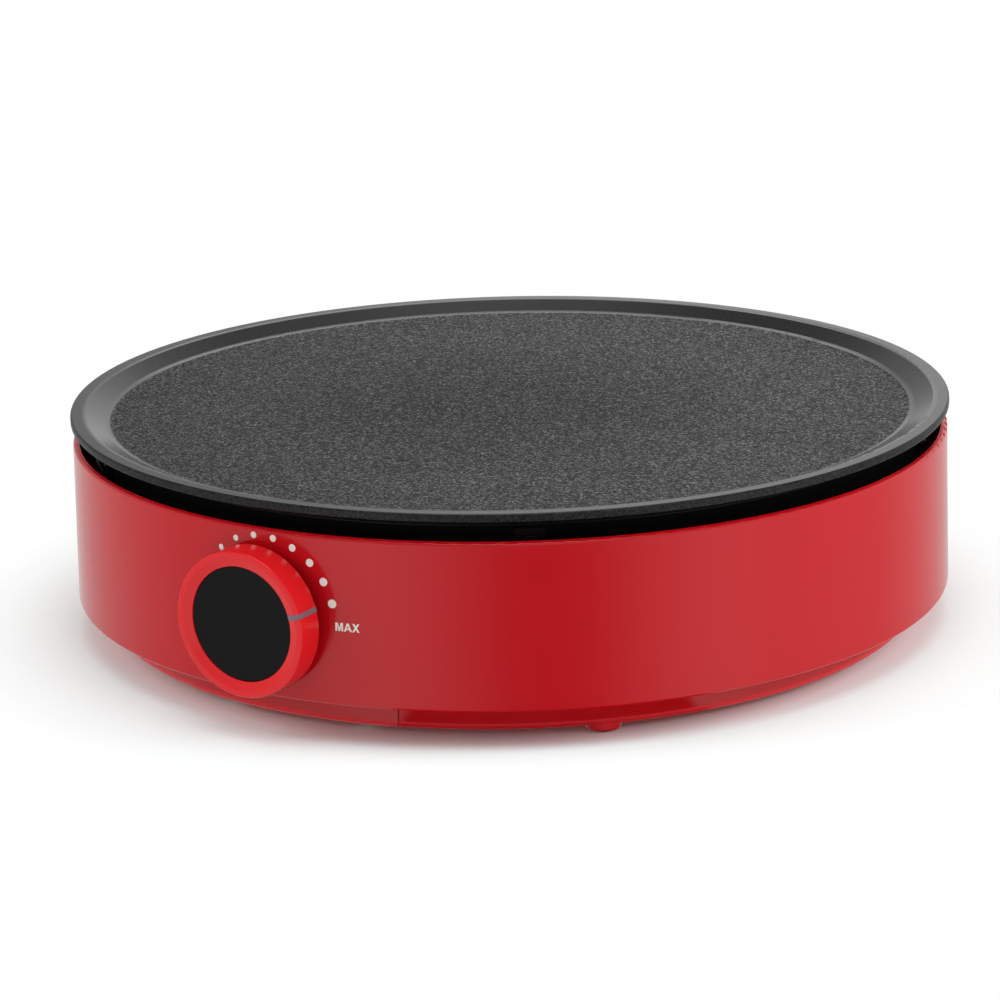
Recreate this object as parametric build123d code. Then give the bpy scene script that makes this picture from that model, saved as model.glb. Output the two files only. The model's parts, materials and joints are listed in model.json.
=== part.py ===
from build123d import *
import os
from math import asin, atan2, cos, degrees, pi, radians, sin, sqrt, tan

os.makedirs("parts", exist_ok=True)

# Electric crepe maker: a round cast griddle plate on a shallow moulded housing,
# with one thermostat knob on the side.
# Millimetres. Z is up from the table, the origin is on the body's axis at table
# level, and the knob faces -Y. Azimuths are degrees from the knob towards +X.

# ---------------------------------------------------------------- driving sizes

# Used all over
cut_over = 1.0  # how far a cutting tool passes the faces it cuts
screw_clearance = 0.25  # free hole round a screw, on the radius
screw_slack = 0.05  # threaded or close hole round a pin, on the radius
screw_end_room = 1.0  # bore beyond a screw's tip

# Griddle plate
plate_radius = 160.0
plate_height = 81.2  # table to the ledge round the rim
ledge_width = 5.0
slope_width = 9.0
slope_depth = 4.1
slope_foot_round = 8.0
slope_head_round = 4.0
rim_edge = 2.8  # height of the rim's outer edge
rim_edge_round = 0.8
rim_fall = 2.4  # how far the rim's underside drops towards the skirt
plate_thickness = 4.5
skirt_inset = 9.0  # rim's edge to the skirt
skirt_wall = 4.0
skirt_depth = 5.8  # below the underside of the disc
casting_round = 1.5

# Heating element, a bent tube in a groove under the plate
element_inset = 65.0  # plate's edge to the middle of the tube
element_tube_radius = 3.25
element_gap = 0.2  # tube to the underside of the disc
element_open_azimuth = 14.0  # half of the arc that the ring leaves open
element_bend_radius = 9.0
element_drop = 17.0  # straight length below each bend
groove_rib_width = 13.0
bead_radius = 4.6
bead_length = 5.0
bead_round = 0.8
pin_radius = 1.2
pin_length = 11.0
pin_tab = (6.3, 0.8, 8.0)
pin_tab_lap = 1.5  # how far the tab runs up the pin

# Clamps that hold the element
clamp_azimuths = (60.0, 180.0, 300.0)
clamp_size = (10.0, 31.0, 1.2)
clamp_screw_spacing = 22.0
clamp_boss_radius = 4.0
clamp_gap = 0.05
clamp_screw_grip = 5.0

# Heat shield, a pressed tray under the element
shield_sheet = 0.8
shield_drop = 9.0  # rim of the tray to its floor
shield_flange_width = 6.4
shield_side_run = 13.45  # how far the tray's side leans out
shield_hole_radius = 18.0
shield_pin_clearance = 1.5
shield_bend = 3.0
lug_azimuths = (-38.0, 34.0, 106.0, 178.0, 250.0)
lug_width = 10.0
lug_height = 7.0
lug_gap = 0.05
rivet_radius = 1.5
rivet_head = (2.4, 0.9)  # radius and height
rivet_head_round = 0.6
rivet_tail = (1.9, 0.8)
rivet_rise = 2.5  # above the skirt's lower edge

# Posts between base and plate
post_inset = 12.0  # edge of the shield's floor to the post's axis
post_azimuths = (45.0, 135.0, 225.0, 315.0)
post_radius = 6.0
post_boss_radius = 8.0
post_boss_top = 14.0
plate_boss_radius = 7.0
post_screw_radius = 2.0
post_screw_grip = 9.0  # thread length inside the plate's boss
post_screw_head = (4.0, 2.6)
post_head_recess = 4.0

# Housing shell, drafted
shell_bottom = 13.5
shell_gap = 7.2  # shell's top edge to the rim
shell_proud = 0.4  # shell's bottom edge beyond the plate's edge
shell_draft = 1.0  # how much narrower the shell is at its top
shell_wall = 2.3
shell_top_round = 1.2
shell_inner_round = 0.4
shell_bottom_round = 0.7
shell_boss_radius = 3.7
shell_boss_height = 26.0
shell_web = 4.0

# Base pan
foot_height = 3.0  # table to the bottom of the base ring
base_inset = 11.65  # shell's bottom edge to the base ring
base_round = 2.0
base_wall = 2.2
base_ring_width = 6.4
floor_recess = 2.0
floor_thickness = 2.2
flange_recess = 0.5  # flange underside above the shell's bottom edge
flange_thickness = 2.2
flange_clearance = 0.3
flange_corner_round = 1.0
flange_edge_round = 0.5
ring_inner_round = 0.6
base_screw_azimuths = (30.0, 90.0, 150.0, 210.0, 270.0, 330.0)
base_screw_radius = 1.4
base_screw_length = 12.0
base_screw_head = (2.7, 1.9)
screw_head_round = 0.45  # share of a head's height
cross_depth = 0.55  # share of a head's height
cross_reach = 0.6  # share of a head's radius
cross_width = 0.3  # share of a head's radius
vent_rings = ((20, 45.9, 30.0), (12, 87.9, 22.0))  # count, base ring's face to slot, slot length
vent_width = 4.0
rib_azimuths = (75.0, 105.0, 165.0, 195.0, 255.0, 285.0)
rib_thickness = 1.6
rib_height = 6.0
rib_length = 38.8

# Control bay cover, the proud piece of the base under the knob
cover_half_angle = 16.6
cover_depth = 33.9  # base ring's face to the cover's inner edge
cover_proud = 0.3
cover_gap = 0.3
cover_edge_round = 1.8
cover_inner_round = 1.0
cover_screw_azimuths = (-11.0, 11.0)
cover_screw_inset = 6.3  # base ring's face to the screw's axis
cover_screw_length = 9.0
cover_boss_radius = 3.6
cover_tongue = 6.0
cover_tongue_root = 4.0
cover_tongue_sheet = 1.6

# Feet
foot_inset = 6.85  # base ring's face to the foot's axis
foot_azimuths = (43.6, 136.4, 223.6, 316.4)
foot_radius = 6.3
foot_round = 0.8
foot_pad_radius = 4.8
foot_pad_proud = 0.5
foot_pad_sunk = 1.4
foot_pad_edge = 0.3

# Knob
knob_gap = 2.28
knob_protrusion = 9.86  # back of the knob to its face
knob_face_radius = 25.1
knob_flare = 0.1  # how much wider the back is
knob_wall = 2.2
knob_draft = 0.3
knob_face_round = 0.5
ring_flat_width = 2.1
ring_dish = 1.15
ring_width = 5.2
disc_thickness = 2.0
disc_round = 0.3
disc_below_face = 1.39
disc_clearance = 0.1
knob_web = 2.0
knob_web_round = 1.0
hub_radius = 6.0
knob_rib_thickness = 1.2
knob_rib_depth = 4.0
pointer_angle = 75.2  # clockwise from the top, seen from the front
pointer_width = 1.7
pointer_depth = 1.1
pointer_proud = 0.15

# Thermostat, on the knob's axis
shaft_radius = 3.0
shaft_flat = 2.4  # axis to the flat
shaft_running_clearance = 0.05
shaft_flat_length = 12.0
shaft_collar = (4.2, 1.5)
collar_play = 0.3
bracket_depth = 19.9  # shell's outer face to the bracket's inner face
bracket_size = (70.0, 22.0, 1.2)
bracket_corner = 4.0
bracket_boss_spacing = 58.0
bracket_boss_radius = 4.0
bracket_screw_radius = 1.5
bracket_screw_length = 10.0
bracket_screw_head = (2.8, 2.0)
bushing_radius = 4.5
bushing_flange = (8.0, 1.2)
bushing_nose = 10.0  # beyond the bracket's inner face
bushing_root = 8.0  # inside the thermostat's body
bushing_chamfer = 0.6
nut_across_flats = 13.0
nut_thickness = 2.5
body_size = (38.0, 28.0, 16.0)
body_corner = 3.0
body_headroom = 1.9  # switch body to the shield's floor
cap_radius = 12.5
cap_depth = 5.0
cap_round = 1.5
tab_size = (6.3, 0.8, 9.0)
tab_spacing = 24.0
tab_drop = 8.0  # below the knob's axis
shell_shaft_hole = 5.0

# Sensor bulb and capillary
bulb_radius = 2.5
bulb_length = 36.0
bulb_round = 1.5
bulb_neck = 4.0
bulb_neck_wall = 0.6
bulb_neck_lap = 1.0
bulb_from_axis = 50.0
bulb_clip_gap = 0.1
bulb_clip_sheet = 0.8
bulb_clip_width = 12.0
bulb_clip_foot = 9.0
bulb_screw_length = 4.0
bulb_screw_end_room = 0.3
capillary_radius = 0.8
capillary_bend = 6.0
capillary_straight = 2.0  # beyond each bend at the shield's port
capillary_run_in = 10.0  # straight run into the switch body
capillary_entry = (16.5, 10.0)  # on the back of the switch body, from its middle
shield_port_radius = 4.0

# Cord gland and terminal block at the rear
gland_height = 30.0
gland_bore = 3.6
gland_body_radius = 6.5
gland_flange = (9.0, 2.0)
gland_inside = 6.0
gland_neck_wall = (2.2, 2.6)  # at the neck's tip and root
gland_proud = 1.6
gland_seat_gap = 0.2
gland_edge_round = 0.6
gland_nose_round = 1.0
gland_mouth_round = 0.5
block_size = (36.0, 18.0, 16.0)
block_corner = 1.5
block_inset = 41.9  # base ring's face to the block's middle
block_boss_height = 4.0
block_boss_radius = 4.5
block_bore = 1.8
block_pitch = 11.0
block_screw = (2.2, 3.0)
block_screw_sunk = 1.0
block_screw_slot = (0.8, 0.6)

# Thermal fuse and leads
fuse_radius = 4.0
fuse_length = 26.0
fuse_round = 1.2
fuse_place = (-72.0, -14.0)
fuse_clip_sheet = 0.8
fuse_clip_width = 8.0
fuse_clip_foot = 8.0
fuse_slack = 0.05
lead_radius = 1.4
lead_level = 20.0
lead_in_block = 4.0
lead_floor_gap = 1.5  # lowest lead to the base pan's floor
earth_crimp = 3.0  # end of the tab to the end of its lead
# Each lead is laid by hand: steps from its start, points under the shield, steps from its end.
# Where a lead ends on a pin, its last heights are shares of its drop below the pin.
live_route = (
    [(0, -19, 0)],
    [(34, 62, 20), (62, 26, 20), (68, -20, 20), (54, -62, 24)],
    [(22, 20, -2.1), (0, 12, 0)],
)
neutral_route = ([(0, -19, 0)], [(-34, 64, 28)], [(6, 34, -8), (0, 14, 0)])
fuse_route = ([(0, -12, 0), (14, -35, -14)], [], [(-18, 4, -0.83), (0, 0, -1)])
switched_route = (
    [(0, 8, 0), (9, 19.6, -7)],
    [],
    [(-14.2, 9, -0.68), (-1, 5, -0.93), (0, 0, -0.45)],
)
earth_route = ([(0, -14, 0)], [], [(3, 20, -12.6), (0, 11, 0)])
earth_tab_place = (0.0, 58.0)
earth_tab_size = (8.0, 14.0, 0.8)
earth_tab_corner = 2.0
shield_screw_length = 4.0

# ---------------------------------------------------------------- worked out

cook_face = plate_height - slope_depth
disc_underside = cook_face - plate_thickness
skirt_bottom = disc_underside - skirt_depth
disc_edge_radius = plate_radius - ledge_width - slope_width
skirt_radius = plate_radius - skirt_inset
element_ring_radius = plate_radius - element_inset
element_height = disc_underside - element_gap - element_tube_radius
element_bottom = element_height - element_tube_radius
shield_rim_top = skirt_bottom
shield_floor_top = shield_rim_top - shield_drop
shield_floor_bottom = shield_floor_top - shield_sheet
shield_rim_radius = skirt_radius + lug_gap + shield_sheet
shield_step_radius = shield_rim_radius - shield_flange_width
shield_floor_radius = shield_step_radius - shield_side_run
shield_side_lean = atan2(shield_drop, shield_side_run)
post_from_axis = shield_floor_radius - post_inset
rivet_height = skirt_bottom + rivet_rise
shell_top = plate_height - rim_edge - shell_gap
shell_radius_bottom = plate_radius + shell_proud
shell_radius_top = shell_radius_bottom - shell_draft
ring_bottom = foot_height
floor_bottom = ring_bottom + floor_recess
floor_top = floor_bottom + floor_thickness
flange_bottom = shell_bottom + flange_recess
flange_top = flange_bottom + flange_thickness
flange_radius = shell_radius_bottom - shell_wall - flange_clearance
base_radius = shell_radius_bottom - base_inset
base_screw_from_axis = base_radius + shell_boss_radius
cover_inner_radius = base_radius - cover_depth
cover_screw_from_axis = base_radius - cover_screw_inset
foot_from_axis = base_radius - foot_inset
block_from_axis = base_radius - block_inset
knob_height = shield_floor_bottom - body_headroom - body_size[1] / 2
knob_plane = Plane(origin=(0, 0, knob_height), x_dir=(1, 0, 0), z_dir=(0, -1, 0))


def shell_radius(height):
    """Outer radius of the drafted shell at a height."""
    share = (height - shell_bottom) / (shell_top - shell_bottom)
    return shell_radius_bottom + share * (shell_radius_top - shell_radius_bottom)


knob_back_radius = knob_face_radius + knob_flare
recess_radius = knob_face_radius - ring_width
disc_radius = recess_radius - disc_clearance
knob_back = shell_radius(knob_height) + knob_gap
knob_face = knob_back + knob_protrusion
disc_front = knob_face - disc_below_face
disc_seat = disc_front - disc_thickness
bracket_from_axis = shell_radius(knob_height) - bracket_depth
bracket_face = bracket_from_axis + bracket_size[2]
bushing_tip = bracket_from_axis + bushing_nose
bushing_tail = bracket_from_axis - bushing_root
body_back = bracket_from_axis - body_size[2]
shaft_tip = disc_seat - knob_web / 2
shaft_tail = bushing_tail - collar_play - shaft_collar[1]
fuse_height = shield_floor_bottom - fuse_clip_sheet - fuse_slack - fuse_radius
fuse_screw_place = (fuse_place[0] + fuse_radius + 0.6 * fuse_clip_foot, fuse_place[1])

# ---------------------------------------------------------------- helpers


def turned(*corners):
    """Solid of revolution about Z from (radius, height, fillet) corners."""
    points = [(radius, height) for radius, height, _ in corners]
    rounds = [fillet_radius for _, _, fillet_radius in corners]
    outline = FilletPolyline(*points, radius=rounds, close=True)
    return revolve(make_face(Plane.XZ * outline), Axis.Z)


def rod(radius, bottom, top):
    """Upright round bar between two heights."""
    return Pos(0, 0, bottom) * extrude(Circle(radius), top - bottom)


def block(width, depth, bottom, top):
    """Upright rectangular bar between two heights."""
    return Pos(0, 0, bottom) * extrude(Rectangle(width, depth), top - bottom)


def around(azimuth, from_axis=0.0, height=0.0):
    """Place at an azimuth: local -Y points away from the body's axis."""
    turn = radians(azimuth)
    return Location((from_axis * sin(turn), -from_axis * cos(turn), height), (0, 0, azimuth))


def along_knob(shape):
    """Move a shape built upright about Z so that Z runs out along the knob's axis."""
    return knob_plane.location * shape


def sector(half_angle, inner, outer, bottom, top):
    """Ring segment centred on the knob's azimuth."""
    reach = 2 * outer
    wide = reach * tan(radians(half_angle))
    wedge = make_face(Polyline((0, 0), (wide, -reach), (-wide, -reach), close=True))
    ring = Circle(outer) - Circle(inner)
    return Pos(0, 0, bottom) * extrude(wedge & ring, top - bottom)


def pan_screw(radius, length, head):
    """Screw along Z, its head's bearing face at z = 0 and its thread upwards."""
    head_radius, head_height = head
    screw = turned(
        (0, -head_height, 0),
        (head_radius, -head_height, screw_head_round * head_height),
        (head_radius, 0, 0),
        (0, 0, 0),
    )
    screw += rod(radius, 0, length)
    arm_length = 2 * cross_reach * head_radius
    arm_width = cross_width * head_radius
    cross_bottom = (cross_depth - 1) * head_height
    for length_x, length_y in ((arm_length, arm_width), (arm_width, arm_length)):
        screw -= block(length_x, length_y, -head_height - cut_over, cross_bottom)
    return screw


def swept(radius, path):
    """Round wire along a path of lines and tangent arcs."""
    start = Plane(origin=path @ 0, z_dir=path % 0)
    return sweep(start * Circle(radius), path)


def bent_path(points):
    """Route with each corner's arc as large as its two runs allow."""
    corners = [Vector(*point) for point in points]
    bends = []
    for before, corner, after in zip(corners, corners[1:], corners[2:]):
        incoming = corner - before
        outgoing = after - corner
        shorter = min(incoming.length, outgoing.length)
        half_turn = radians(incoming.get_angle(outgoing)) / 2
        bends.append(0.45 * shorter / tan(half_turn))
    return FilletPolyline(*corners, radius=bends)


# ---------------------------------------------------------------- plate and heat


def make_heating_element():
    """Open ring with both ends turned down to the cold pins."""
    start = radians(element_open_azimuth)
    ring_x = element_ring_radius * sin(start)
    ring_y = -element_ring_radius * cos(start)
    ring_end = Vector(ring_x, ring_y, element_height)
    other_end = Vector(-ring_x, ring_y, element_height)
    far_side = Vector(0, element_ring_radius, element_height)
    ring = ThreePointArc(ring_end, far_side, other_end)
    edges = [ring]
    for end, side in ((ring_end, 1), (other_end, -1)):
        along = Vector(-cos(start) * side, -sin(start), 0)
        bend_end = end + along * element_bend_radius - Vector(0, 0, element_bend_radius)
        middle = end + along * (element_bend_radius * sin(pi / 4))
        middle -= Vector(0, 0, element_bend_radius * (1 - cos(pi / 4)))
        edges.append(ThreePointArc(end, middle, bend_end))
        edges.append(Line(bend_end, bend_end - Vector(0, 0, element_drop)))
    path = Wire([edge.edge() for edge in edges])
    return swept(element_tube_radius, path)


def element_end(side):
    """Centre of the tube's lower end on one side (1 or -1)."""
    start = radians(element_open_azimuth)
    x = element_ring_radius * sin(start) - element_bend_radius * cos(start)
    y = -element_ring_radius * cos(start) - element_bend_radius * sin(start)
    return Vector(side * x, y, element_height - element_bend_radius - element_drop)


def make_element_beads():
    """Ceramic beads pressed against the tube's ends."""
    bead = turned(
        (pin_radius + screw_slack, -bead_length, 0),
        (bead_radius, -bead_length, bead_round),
        (bead_radius, 0, 0),
        (pin_radius + screw_slack, 0, 0),
    )
    return [Pos(*element_end(side)) * bead for side in (1, -1)]


def make_element_pins():
    """Cold pins with flat tabs for push-on connectors."""
    tab_width, tab_sheet, tab_length = pin_tab
    pin = rod(pin_radius, -pin_length, 0)
    pin += block(tab_width, tab_sheet, -pin_length - tab_length, pin_tab_lap - pin_length)
    return [Pos(*element_end(side)) * pin for side in (1, -1)]


def clamp_screw_places():
    """Screw centres of every clamp, one each side of the groove's rib."""
    for azimuth in clamp_azimuths:
        for offset in (-clamp_screw_spacing / 2, clamp_screw_spacing / 2):
            yield around(azimuth, element_ring_radius + offset)


def make_griddle_plate():
    """Cast plate: ledge, slope, cooking disc, skirt, element groove and bosses."""
    rim_bottom = plate_height - rim_edge
    plate = turned(
        (0, cook_face, 0),
        (disc_edge_radius, cook_face, slope_foot_round),
        (plate_radius - ledge_width, plate_height, slope_head_round),
        (plate_radius, plate_height, rim_edge_round),
        (plate_radius, rim_bottom, rim_edge_round),
        (skirt_radius, rim_bottom - rim_fall, casting_round),
        (skirt_radius, skirt_bottom, casting_round / 3),
        (skirt_radius - skirt_wall, skirt_bottom, casting_round / 3),
        (skirt_radius - skirt_wall, disc_underside, casting_round),
        (0, disc_underside, 0),
    )
    overlap = plate_thickness / 4
    rib = Circle(element_ring_radius + groove_rib_width / 2)
    rib -= Circle(element_ring_radius - groove_rib_width / 2)
    rib_height_total = disc_underside + overlap - element_height
    plate += Pos(0, 0, element_height) * extrude(rib, rib_height_total)
    plate -= Pos(0, 0, element_height) * Torus(element_ring_radius, element_tube_radius)
    clamp_seat = element_bottom - clamp_gap
    for place in clamp_screw_places():
        boss = rod(clamp_boss_radius, clamp_seat, disc_underside + overlap)
        bore = rod(base_screw_radius + screw_slack, clamp_seat, disc_underside)
        plate += place * boss
        plate -= place * bore
    for azimuth in post_azimuths:
        place = around(azimuth, post_from_axis)
        boss = rod(plate_boss_radius, shield_floor_top, disc_underside + overlap)
        bore_top = shield_floor_top + post_screw_grip + screw_end_room
        plate += place * boss
        plate -= place * rod(post_screw_radius + screw_slack, shield_floor_top, bore_top)
    for azimuth in lug_azimuths:
        plate -= around(azimuth) * rivet_hole()
    for place in bulb_screw_places():
        bore_top = disc_underside - bulb_clip_sheet + bulb_screw_length + bulb_screw_end_room
        plate -= place * rod(base_screw_radius + screw_slack, disc_underside, bore_top)
    return plate


def rivet_hole():
    """Hole through the skirt for a lug's rivet."""
    inner = skirt_radius - skirt_wall - cut_over
    hole = rod(rivet_radius + screw_slack, inner, skirt_radius + cut_over)
    across = Plane(origin=(0, 0, rivet_height), z_dir=(0, -1, 0))
    return across.location * hole


def make_shield_rivets():
    """Rivets that hold the shield's lugs to the plate's skirt."""
    head_radius, head_height = rivet_head
    tail_radius, tail_height = rivet_tail
    inner = skirt_radius - skirt_wall
    outer = skirt_radius + lug_gap + shield_sheet
    tail_seat = sqrt(inner**2 - tail_radius**2)
    rivet = rod(rivet_radius, tail_seat, outer)
    rivet += turned(
        (0, outer, 0),
        (head_radius, outer, 0),
        (head_radius, outer + head_height, rivet_head_round),
        (0, outer + head_height, 0),
    )
    rivet += rod(tail_radius, inner - tail_height, tail_seat)
    across = Plane(origin=(0, 0, rivet_height), z_dir=(0, -1, 0))
    return [around(azimuth) * across.location * rivet for azimuth in lug_azimuths]


def make_heat_shield():
    """Pressed tray under the element, with lugs that stand up outside the skirt."""
    mitre = shield_sheet * tan(shield_side_lean / 2)
    rim_bottom = shield_rim_top - shield_sheet
    tray = turned(
        (shield_hole_radius, shield_floor_bottom, 0),
        (shield_floor_radius, shield_floor_bottom, shield_bend + shield_sheet),
        (shield_step_radius, rim_bottom, shield_bend),
        (shield_rim_radius, rim_bottom, 0),
        (shield_rim_radius, shield_rim_top, 0),
        (shield_step_radius - mitre, shield_rim_top, shield_bend + shield_sheet),
        (shield_floor_radius - mitre, shield_floor_top, shield_bend),
        (shield_hole_radius, shield_floor_top, 0),
    )
    band = Circle(shield_rim_radius) - Circle(shield_rim_radius - shield_sheet)
    strip = Pos(0, -shield_rim_radius) * Rectangle(lug_width, shield_rim_radius / 2)
    lug = Pos(0, 0, rim_bottom) * extrude(band & strip, lug_height + shield_sheet)
    lug -= rivet_hole()
    for azimuth in lug_azimuths:
        tray += around(azimuth) * lug
    low = shield_floor_bottom - cut_over
    high = shield_floor_top + cut_over
    for azimuth in post_azimuths:
        hole = rod(post_screw_radius + screw_clearance, low, high)
        tray -= around(azimuth, post_from_axis) * hole
    for side in (1, -1):
        end = element_end(side)
        tray -= Pos(end.X, end.Y, 0) * rod(element_tube_radius + shield_pin_clearance, low, high)
    tray -= Pos(*capillary_port()) * rod(shield_port_radius, low, high)
    tray -= Pos(*fuse_screw_place) * rod(base_screw_radius + screw_slack, low, high)
    tray -= Pos(*earth_tab_place) * rod(base_screw_radius + screw_slack, low, high)
    return tray


def make_element_clamps():
    """Strips across the tube, screwed to the plate's bosses."""
    width, length, sheet = clamp_size
    top = element_bottom - clamp_gap
    strip = block(width, length, top - sheet, top)
    strip = fillet(strip.edges().filter_by(Axis.Z), width / 4)
    hole = rod(base_screw_radius + screw_clearance, top - sheet - cut_over, top + cut_over)
    for offset in (-clamp_screw_spacing / 2, clamp_screw_spacing / 2):
        strip -= Pos(0, offset, 0) * hole
    return [around(azimuth, element_ring_radius) * strip for azimuth in clamp_azimuths]


def make_clamp_screws():
    """Two screws for each element clamp."""
    screw = pan_screw(base_screw_radius, clamp_size[2] + clamp_screw_grip, base_screw_head)
    seat = element_bottom - clamp_gap - clamp_size[2]
    return [place * Pos(0, 0, seat) * screw for place in clamp_screw_places()]


def make_plate_posts():
    """Tubes that carry the plate and shield on the base pan."""
    tube = rod(post_radius, post_boss_top, shield_floor_bottom)
    tube -= rod(post_screw_radius + screw_clearance, post_boss_top, shield_floor_bottom)
    return [around(azimuth, post_from_axis) * tube for azimuth in post_azimuths]


def make_post_screws():
    """Long screws from under the base, through the posts, into the plate."""
    seat = floor_bottom + post_head_recess
    length = shield_floor_top + post_screw_grip - seat
    screw = Pos(0, 0, seat) * pan_screw(post_screw_radius, length, post_screw_head)
    return [around(azimuth, post_from_axis) * screw for azimuth in post_azimuths]


# ---------------------------------------------------------------- housing


def make_housing_shell():
    """Drafted ring wall with screw bosses, thermostat bosses, knob and gland holes."""
    shell = turned(
        (shell_radius_bottom, shell_bottom, shell_bottom_round),
        (shell_radius_top, shell_top, shell_top_round),
        (shell_radius_top - shell_wall, shell_top, shell_inner_round),
        (shell_radius_bottom - shell_wall, shell_bottom, shell_inner_round),
    )
    boss_top = flange_top + shell_boss_height
    wall_middle = shell_radius(boss_top) - shell_wall / 2
    web_length = wall_middle - base_screw_from_axis
    boss = rod(shell_boss_radius, flange_top, boss_top)
    web = block(shell_web, web_length, flange_top, boss_top)
    boss += Pos(0, -web_length / 2, 0) * web
    bore_depth = base_screw_length - flange_thickness + screw_end_room
    boss -= rod(base_screw_radius + screw_slack, flange_top, flange_top + bore_depth)
    for azimuth in base_screw_azimuths:
        shell += around(azimuth, base_screw_from_axis) * boss
    for side in (1, -1):
        x = side * bracket_boss_spacing / 2
        nearest = abs(x) - bracket_boss_radius
        farthest = abs(x) + bracket_boss_radius
        wall_at_near = sqrt((shell_radius(knob_height) - shell_wall) ** 2 - nearest**2)
        wall_at_far = sqrt(shell_radius(knob_height) ** 2 - farthest**2)
        boss_end = (wall_at_near + wall_at_far) / 2
        stud = rod(bracket_boss_radius, bracket_face, boss_end)
        stud_bore = bracket_from_axis + bracket_screw_length + screw_end_room
        stud -= rod(bracket_screw_radius + screw_slack, bracket_face, stud_bore)
        shell += along_knob(Pos(x, 0, 0) * stud)
    shaft_hole = rod(shell_shaft_hole, bracket_face, knob_back)
    shell -= along_knob(shaft_hole)
    wall_face = shell_radius(gland_height)
    gland_hole = rod(gland_body_radius, wall_face - 2 * shell_wall, wall_face + cut_over)
    shell -= along_gland(gland_hole)
    return shell


def along_gland(shape):
    """Move a shape built upright about Z so that Z runs out through the rear wall."""
    rear = Plane(origin=(0, 0, gland_height), x_dir=(-1, 0, 0), z_dir=(0, 1, 0))
    return rear.location * shape


def make_cord_gland():
    """Bush for the mains lead in the rear wall; its flange seats on the wall inside."""
    wall_face = shell_radius(gland_height)
    rim_radius, rim_depth = gland_flange
    tip_wall, root_wall = gland_neck_wall
    seat = sqrt((wall_face - shell_wall) ** 2 - rim_radius**2) - gland_seat_gap
    tip = seat - rim_depth - gland_inside
    nose = wall_face + gland_proud
    bush = turned(
        (gland_bore, tip, 0),
        (gland_bore + tip_wall, tip, gland_edge_round),
        (gland_bore + root_wall, seat - rim_depth, 0),
        (rim_radius, seat - rim_depth, gland_edge_round),
        (rim_radius, seat, 0),
        (gland_body_radius, seat, 0),
        (gland_body_radius, nose, gland_nose_round),
        (gland_bore, nose, gland_mouth_round),
    )
    return along_gland(bush)


def make_base_pan():
    """Moulded pan: ring, recessed floor with vents, flange, bosses, ribs and feet."""
    pan = turned(
        (0, floor_bottom, 0),
        (base_radius - base_ring_width, floor_bottom, 0),
        (base_radius - base_ring_width, ring_bottom, ring_inner_round),
        (base_radius, ring_bottom, base_round),
        (base_radius, flange_bottom, flange_corner_round),
        (flange_radius, flange_bottom, 0),
        (flange_radius, flange_top, flange_edge_round),
        (base_radius - base_wall, flange_top, 0),
        (base_radius - base_wall, floor_top, base_round),
        (0, floor_top, 0),
    )
    low = floor_bottom - cut_over
    high = floor_top + cut_over
    floor_middle = (floor_bottom + floor_top) / 2
    for count, inset, length in vent_rings:
        slot = SlotOverall(length, vent_width, rotation=90)
        cutter = Pos(0, 0, low) * extrude(slot, high - low)
        for number in range(count):
            azimuth = 360 * (number + 0.5) / count
            pan -= around(azimuth, base_radius - inset - length / 2) * cutter
    bay_radius = base_radius + cover_proud + cut_over
    bay_bottom = ring_bottom - cut_over
    pan -= sector(cover_half_angle, cover_inner_radius, bay_radius, bay_bottom, flange_bottom)
    for azimuth in cover_screw_azimuths:
        place = around(azimuth, cover_screw_from_axis)
        boss = rod(cover_boss_radius, floor_top + cover_gap, flange_top)
        web = base_radius - cover_screw_from_axis
        joined = block(2 * cover_boss_radius, web, flange_bottom, flange_top)
        boss += Pos(0, -web / 2, 0) * joined
        bore_top = floor_bottom + cover_screw_length + screw_end_room
        pan += place * boss
        pan -= place * rod(base_screw_radius + screw_slack, floor_top, bore_top)
    for azimuth in post_azimuths:
        place = around(azimuth, post_from_axis)
        head_radius = post_screw_head[0] + screw_clearance
        pan += place * rod(post_boss_radius, floor_middle, post_boss_top)
        pan -= place * rod(post_screw_radius + screw_clearance, low, post_boss_top)
        pan -= place * rod(head_radius, low, floor_bottom + post_head_recess)
    for azimuth in base_screw_azimuths:
        hole = rod(base_screw_radius + screw_clearance, flange_bottom, flange_top)
        pan -= around(azimuth, base_screw_from_axis) * hole
    rib_outer = base_radius - base_wall / 2
    rib_top = floor_top + rib_height
    rib = block(rib_thickness, rib_length, floor_middle, rib_top)
    for azimuth in rib_azimuths:
        pan += around(azimuth, rib_outer - rib_length / 2) * rib
    for azimuth in foot_azimuths:
        place = around(azimuth, foot_from_axis)
        stud = rod(foot_radius, foot_pad_proud, floor_middle)
        stud = fillet(stud.edges().sort_by(Axis.Z)[0], foot_round)
        pad_top = foot_pad_proud + foot_pad_sunk
        pan += place * stud
        pan -= place * rod(foot_pad_radius + screw_slack, foot_pad_proud, pad_top)
    for side in (1, -1):
        x = side * (block_size[0] / 2 - block_boss_radius)
        boss = rod(block_boss_radius, floor_middle, floor_top + block_boss_height)
        pan += Pos(x, block_from_axis, 0) * boss
    return pan


def make_foot_pads():
    """Rubber pads let into the feet."""
    pad_top = foot_pad_proud + foot_pad_sunk
    pad = turned(
        (0, 0, 0),
        (foot_pad_radius - foot_pad_edge, 0, 0),
        (foot_pad_radius, foot_pad_edge, 0),
        (foot_pad_radius, pad_top, 0),
        (0, pad_top, 0),
    )
    return [around(azimuth, foot_from_axis) * pad for azimuth in foot_azimuths]


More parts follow.
